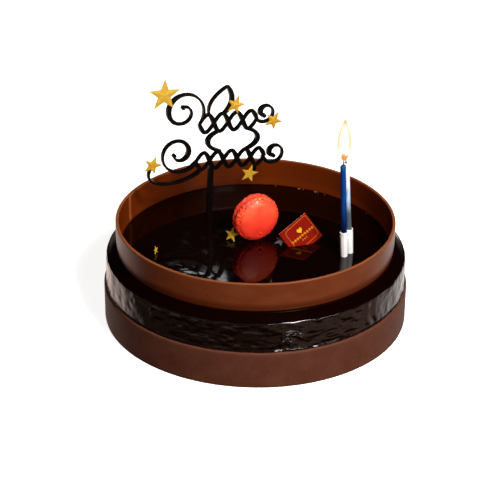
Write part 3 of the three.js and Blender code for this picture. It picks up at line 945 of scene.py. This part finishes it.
def build_candles():
    whites = (0.95, 0.96, 1.0), (0.98, 0.98, 1.0)
    soft = {"Subsurface_Weight": 0.3, "Subsurface_Radius": (1.0, 1.0, 1.0), "Subsurface_Scale": 1.5 * MM}
    soft["IOR"] = 1.46
    plastic = even_look("white_holder_plastic", whites[0], 0.35, (6, 2), *whites, (1.2, 2, 0.015), **soft)
    for colour, wax, seed in (("blue", blue_wax_look(), 31), ("white", white_wax_look(), 35)):
        build_holder(colour, plastic)
        build_candle(colour, wax, seed)


def drop_shape(length, radius, steps=30):
    """A flame: round below and drawn out to a point above."""
    profile = [(0, 0)]
    for k in range(1, steps):
        t = k / steps
        profile.append((radius * sin(pi * t ** 0.74) ** 0.85, length * t))
    return turned(profile + [(0, length)], 48)


FLAME_LENGTH = 34.0
FLAME_RADIUS = 5.5
HALO_GROWTH = (2.5, 1.9)
HALO_DROP = 1.2
CORE_HEIGHTS = (10.0, 8.0)  # of the orange light above each wick


def build_flame():
    """One flame over both wicks, as the two candles stand close together."""
    rise = HOLDER_HEIGHT - HOLDER_DEPTH + CANDLE_LENGTH + WICK_LENGTH - WICK_SUNK
    tips = [candle_place(spot) @ Vector((0, 0, rise)) for spot in CANDLE_SPOTS.values()]
    base = min(tip.z for tip in tips) - 1.0
    middle = tips[0].lerp(tips[1], 0.25)
    look = flame_look([(tip.x, height) for tip, height in zip(tips, CORE_HEIGHTS)], base, FLAME_LENGTH)
    place = Matrix.Translation((middle.x, middle.y, base))
    make_object("flame", moved(drop_shape(FLAME_LENGTH, FLAME_RADIUS), place), look)
    longer, wider = HALO_GROWTH
    place = place @ Matrix.Translation((0, 0, -HALO_DROP))
    glow = moved(drop_shape(FLAME_LENGTH + longer, FLAME_RADIUS + wider), place)
    make_object("flame_halo", glow, halo_look(base))


# ---- the topper

# Strokes of the scrollwork, right of and above the stick's foot. Each braid is two waves: start,
# end, links and swing. A volute is a centre, its first and last radius, where it starts and how
# far it turns. A swash has four control points.
BRAIDS = (((-13, 50), (46, 48), 5, 7.0), ((-11, 82), (38, 81), 4, 7.5))
VOLUTES = (
    ((-25, 94), 18.5, 4, -37, 490),
    ((-28, 59), 17.5, 4, -30, -490),
    ((45, 86), 9, 3, -146, 400),
    ((54.5, 50), 10, 3, -170, 430),
)
SWASHES = (
    ((-3, 89), (-6, 98), (2, 107), (12, 112)),
    ((12, 112), (17, 104), (18, 96), (9, 89)),
    ((6, 74.5), (-7, 71), (-7, 61), (8, 57)),
    ((28, 74), (43, 71), (43, 60), (29, 56)),
    ((-8, 43), (-26, 28), (-64, 32), (-50, 51)),
    ((38, 42), (38, 38), (36, 35), (33, 33)),
)
POINTS_PER_WAVE = 44
DEGREES_PER_POINT = 7
SWASH_STEPS = 36


def wave_points(start, end, waves, swing):
    start, end = Vector(start), Vector(end)
    count = int(round(waves * POINTS_PER_WAVE))
    points = []
    for k in range(count + 1):
        t = k / count
        rise = swing * sin(tau * waves * t)
        points.append(start.lerp(end, t) + Vector((BRAID_SLANT * rise, rise)))
    return points


def volute_points(centre, first, last, start, sweep):
    count = int(abs(sweep) / DEGREES_PER_POINT)
    points = []
    for k in range(count + 1):
        radius = first + (last - first) * k / count
        points.append(Vector(round_point(centre, radius, radians(start + sweep * k / count))))
    return points


def swash_points(*corners):
    a, b, c, d = (Vector(corner) for corner in corners)
    points = []
    for k in range(SWASH_STEPS + 1):
        t = k / SWASH_STEPS
        s = 1 - t
        points.append(a * s ** 3 + b * 3 * s * s * t + c * 3 * s * t * t + d * t ** 3)
    return points


def stroke_shape(points):
    """A closed strip along the stroke, broad where the pen falls and fine where it rises."""
    travelled = [0.0]
    for a, b in zip(points, points[1:]):
        travelled.append(travelled[-1] + (b - a).length)

    def half_at(i, along):
        fall = max(0.0, -along.y) ** 1.3
        half = (THIN_STROKE + (THICK_STROKE - THIN_STROKE) * fall) / 2
        return half * min(0.7 + 0.075 * min(travelled[i], travelled[-1] - travelled[i]), 1.0)

    return strip(points, half_at, TOPPER_THICKNESS / 2, -TOPPER_THICKNESS / 2)


def topper_plate(outline):
    return plate(outline, -TOPPER_THICKNESS / 2, TOPPER_THICKNESS / 2)


def united(shapes):
    """One closed mesh of many overlapping closed shapes."""
    whole, *tools = [outward(add_mesh("union_piece", shape, scale=1)) for shape in shapes]
    for tool in tools:
        modifier = whole.modifiers.new("join", "BOOLEAN")
        modifier.operation = "UNION"
        modifier.solver = "MANIFOLD"
        modifier.object = tool
        graph = bpy.context.evaluated_depsgraph_get()
        result = bpy.data.meshes.new_from_object(whole.evaluated_get(graph))
        whole.modifiers.clear()
        whole.data = result
        bpy.data.objects.remove(tool)
    vertices = [tuple(v.co) for v in whole.data.vertices]
    faces = [tuple(p.vertices) for p in whole.data.polygons]
    bpy.data.objects.remove(whole)
    return vertices, faces


def build_topper():
    half = STICK_WIDTH / 2
    stick = [(-half, -STICK_SUNK), (half, -STICK_SUNK), (half, STICK_HEIGHT), (-half, STICK_HEIGHT)]
    shapes = [topper_plate(stick)]
    for start, end, links, swing in BRAIDS:
        shapes += [stroke_shape(wave_points(start, end, links / 2, each)) for each in (swing, -swing)]
    for volute in VOLUTES:
        points = volute_points(*volute)
        shapes += [stroke_shape(points), topper_plate(disc_outline(BEAD_RADIUS, points[-1], 28))]
    shapes += [stroke_shape(swash_points(*corners)) for corners in SWASHES]
    blacks = (0.0012, 0.001, 0.0009), (0.004, 0.0032, 0.0028)
    shine = {"gloss": (2.5, 3, 0.16, 0.32), "IOR": 1.4, "Specular_IOR_Level": 0.3}
    look = even_look("black_acrylic", (0.003, 0.0025, 0.002), 0.2, (5, 2), *blacks, (1.4, 2, 0.01), **shine)
    place = Matrix.Translation((*TOPPER_PLACE, GLAZE)) @ spin(TOPPER_TURN, "Z") @ spin(TOPPER_LEAN, "Y")
    made = make_object("scroll_topper", moved(united(shapes), place), look, ["topper"])
    sharpen(made, 35)
    ease_edges(made, 0.14, 50)


# ---- stars and flakes

def dress_stars():
    gold = gold_look("gold_foil", (0.82, 0.5, 0.045), (0.62, 0.33, 0.02), 0.28)
    matte = gold_look("pale_gold_foil", (0.76, 0.5, 0.055), (0.66, 0.4, 0.035), 0.42)
    grey = gold_look("grey_foil", (0.075, 0.075, 0.082), (0.04, 0.04, 0.043), 0.5, 0.0, 0.3)
    for name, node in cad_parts.items():
        if "star" not in name:
            continue
        look = {"topper_star_1": matte, "glaze_star_silver": grey}.get(name, gold)
        node.data.materials.clear()
        node.data.materials.append(look)
        ease_edges(node, 0.1, 40)


# azimuth and size of each flake
FLAKE_SPOTS = ((160, 1.6), (158, 1), (152, 1.7), (150.5, 0.9), (147, 0.8), (171, 0.8), (-158, 0.9), (121, 0.9))


def build_flakes():
    """Chocolate chips on the glaze at the foot of the collar."""
    rng = np.random.default_rng(7)
    shapes = []
    for azimuth, size in FLAKE_SPOTS:
        angle = radians(azimuth)
        radius = COLLAR_RADIUS - COLLAR_WALL - COLLAR_TUCK - 0.9 - rng.random()
        x, y = radius * sin(angle) + COLLAR_SHIFT, -radius * cos(angle)
        centre = Vector((x, y, GLAZE + 0.25 * size))
        shape = bmesh.new()
        bmesh.ops.create_icosphere(shape, subdivisions=2, radius=size / 2)
        seed = rng.random() * 50
        turn = Matrix.Rotation(angle + rng.uniform(-0.4, 0.4), 4, "Z")
        for vertex in shape.verts:
            c = vertex.co
            c *= 1 + 0.5 * lump(c.x, c.y, c.z, 0.9 * size, seed)
            vertex.co = turn @ Vector((c.x * 1.7, c.y * 0.8, c.z * 0.55))
        shape.verts.index_update()
        vertices = [tuple(v.co + centre) for v in shape.verts]
        shapes.append((vertices, [tuple(v.index for v in f.verts) for f in shape.faces]))
        shape.free()
    browns = (0.09, 0.024, 0.008), (0.27, 0.1, 0.04)
    look = even_look("chocolate_flakes", (0.2, 0.07, 0.03), 0.5, (1, 2), *browns)
    make_object("chocolate_flakes", joined(shapes), look)


# ---- camera, floor and light

SENSOR = 36.0
FOCAL = 3.6 * SENSOR
PITCH = 0.4856
DISTANCE = 1421.97
TARGET_HEIGHT = 52.77
YAW = -0.0032
ROLL = 0.01353


def build_camera():
    camera = bpy.data.objects.new("camera", bpy.data.cameras.new("camera"))
    camera.data.lens = FOCAL
    camera.data.sensor_width = SENSOR
    camera.data.clip_end = 60.0
    place = Vector((0, -DISTANCE * cos(PITCH), TARGET_HEIGHT + DISTANCE * sin(PITCH))) * MM
    matrix = Matrix.Translation(place)
    for angle, axis in ((pi / 2 - PITCH, "X"), (-YAW, "Y"), (ROLL, "Z")):
        matrix @= Matrix.Rotation(angle, 4, axis)
    camera.matrix_world = matrix
    bpy.context.scene.collection.objects.link(camera)
    bpy.context.scene.camera = camera


def build_floor():
    glow = {"Emission_Strength": 0.85, "Emission_Color": (1, 1, 1, 1)}
    look = Look("pale_floor", (0.9, 0.9, 0.9), 0.7, Specular_IOR_Level=0.2, **glow)
    corners = [(x, y, -0.2) for x, y in disc_outline(9000.0, (0, 0), 96)]
    floor = add_mesh("floor", (corners, [tuple(range(len(corners)))]), look.material)
    floor.visible_glossy = False
    floor.visible_diffuse = False


def add_panel(name, azimuth, elevation, distance, size, power, colour, aim=(0, 0, 70)):
    """A soft box at this direction and distance in metres from what it is aimed at."""
    light = bpy.data.lights.new(name, "AREA")
    light.shape = "RECTANGLE"
    light.size, light.size_y = size
    light.energy = power
    light.color = colour
    made = bpy.data.objects.new(name, light)
    a, e = radians(azimuth), radians(elevation)
    away = Vector((sin(a) * cos(e), -cos(a) * cos(e), sin(e)))
    made.location = Vector(aim) * MM + away * distance
    made.rotation_mode = "QUATERNION"
    made.rotation_quaternion = away.to_track_quat("Z", "Y")
    bpy.context.scene.collection.objects.link(made)
    return made


GLINT = (-40.0, -66.0)  # the glaze mirrors the window at this point

# name, azimuth, elevation, distance in metres, size in metres, power in watts, colour
SOFT_BOXES = (
    ("key_box", 34, 46, 1.6, (0.36, 0.34), 35, (1.0, 0.97, 0.93)),
    ("low_strip", 27, 18, 1.6, (0.72, 0.16), 5.4, (1.0, 0.98, 0.96)),
    ("side_box", 53, 17, 1.0, (0.22, 0.1), 1.1, (1.0, 0.98, 0.96)),
)
LEFT_FILL = ("left_fill", -52, 26, 1.8, (0.6, 0.4), 4.6, (1.0, 0.84, 0.7))


def mirrored_from(point):
    """Azimuth and elevation of what the camera sees in the flat glaze at this point."""
    ray = point - bpy.context.scene.camera.location / MM
    return azimuth_of(ray.x, ray.y), degrees(atan2(-ray.z, hypot(ray.x, ray.y)))


def build_light():
    for box in SOFT_BOXES:
        add_panel(*box)
    add_panel(*LEFT_FILL).visible_glossy = False
    glint = Vector((*GLINT, GLAZE))
    add_panel("window", *mirrored_from(glint), 1.7, (0.08, 0.035), 0.034, (0.88, 0.92, 1.0), glint)


def build_world():
    """A dark studio. The ground is dark on the shown side and pale behind."""
    world = bpy.data.worlds.new("studio")
    bpy.context.scene.world = world
    world.use_nodes = True
    made = Nodes(world.node_tree, "Generated")

    def blend(axis, low, high, first, second):
        """The first colour where the axis is below low, the second above high."""
        return made.mix(made.ramp(made.axis(axis, 1), low, high), first, second)

    pale_ground = blend("X", -0.3, 0.3, (1.25, 0.95, 0.85), (1.12, 1.02, 0.97))
    wet_ground = blend("X", -0.05, 0.55, (0.11, 0.068, 0.052), (0.52, 0.32, 0.25))
    near_ground = blend("Z", -0.6, -0.49, (0.02, 0.012, 0.01), wet_ground)
    ground = blend("Y", 0.05, 0.6, near_ground, pale_ground)
    upper = blend("Y", -0.35, 0.0, (0.055, 0.045, 0.04), (0.013, 0.007, 0.005))
    horizon = blend("Y", -0.5, 0.1, (0.5, 0.38, 0.32), (0.16, 0.13, 0.12))
    sky = blend("Z", -0.04, 0.09, horizon, upper)
    made.plug(made.nodes["Background"].inputs["Color"], blend("Z", -0.24, -0.12, ground, sky))


# ---- everything

build_cake()
build_band()
build_collar()
build_macaron()
build_card()
build_candles()
build_flame()
build_topper()
dress_stars()
build_flakes()

build_camera()
build_floor()
build_light()
build_world()
bpy.context.scene.view_settings.view_transform = "Standard"
bpy.context.scene.view_settings.look = "None"
